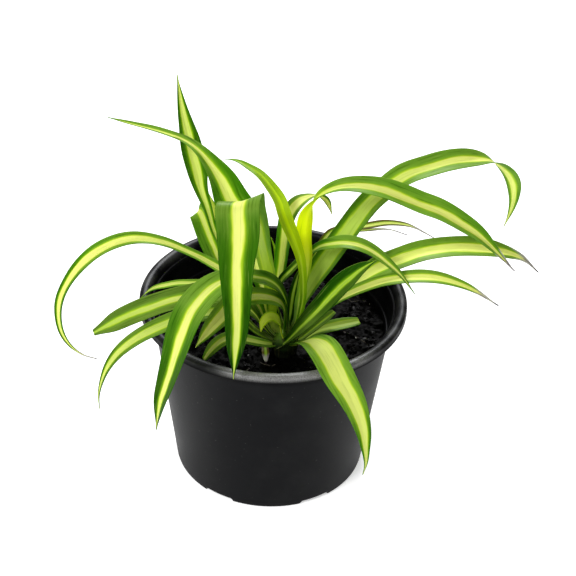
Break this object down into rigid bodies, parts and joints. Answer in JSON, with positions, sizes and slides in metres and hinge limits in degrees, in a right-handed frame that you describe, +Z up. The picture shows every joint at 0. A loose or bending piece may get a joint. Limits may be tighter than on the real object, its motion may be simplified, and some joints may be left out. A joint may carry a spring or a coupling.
{
  "type": "potted spider plant",
  "caption": "Variegated spider plant with long arching striped leaves, growing from a short crown in a soil-filled round tapered nursery pot with a hanging lip.",
  "frame": {"origin": "middle of the pot's underside, on the surface it stands on", "axes": "+Z up through the pot's axis, -Y is the front that the picture shows"},
  "size_m": [0.2746, 0.1747, 0.2411],
  "materials": {
    "pot_plastic": "moulded black plastic with a fine grain",
    "potting_mix": "loose dark bark and peat mix",
    "leaf": "satin leaf, green margins with a pale cream-yellow middle stripe"
  },
  "bodies": {
    "root": {"pot": "pot_plastic", "soil": "potting_mix", "crown": "leaf", "leaf_tall_left": "leaf", "leaf_back_left_long": "leaf", "leaf_inner_left_arch": "leaf", "leaf_front_blade": "leaf", "leaf_front_left_blade": "leaf", "leaf_left_arch": "leaf", "leaf_left_upper": "leaf", "leaf_left_lower": "leaf", "leaf_left_small": "leaf", "leaf_left_inner": "leaf", "leaf_left_on_soil": "leaf", "leaf_right_front": "leaf", "leaf_right_dark": "leaf", "leaf_right_big_arch": "leaf", "leaf_right_second_arch": "leaf", "leaf_right_small_arch": "leaf", "leaf_right_broad": "leaf", "leaf_right_lower": "leaf", "leaf_right_on_soil": "leaf", "leaf_right_low_dark": "leaf", "leaf_back_right_dry": "leaf", "leaf_back_right_thin": "leaf", "leaf_back_centre_arch": "leaf", "leaf_back_left_folded": "leaf", "leaf_inner_narrow_dark": "leaf", "leaf_inner_upright": "leaf", "leaf_front_curl": "leaf", "leaf_front_on_soil": "leaf", "leaf_back_sprout": "leaf", "leaf_back_left_upright": "leaf"}
  },
  "joints": []
}
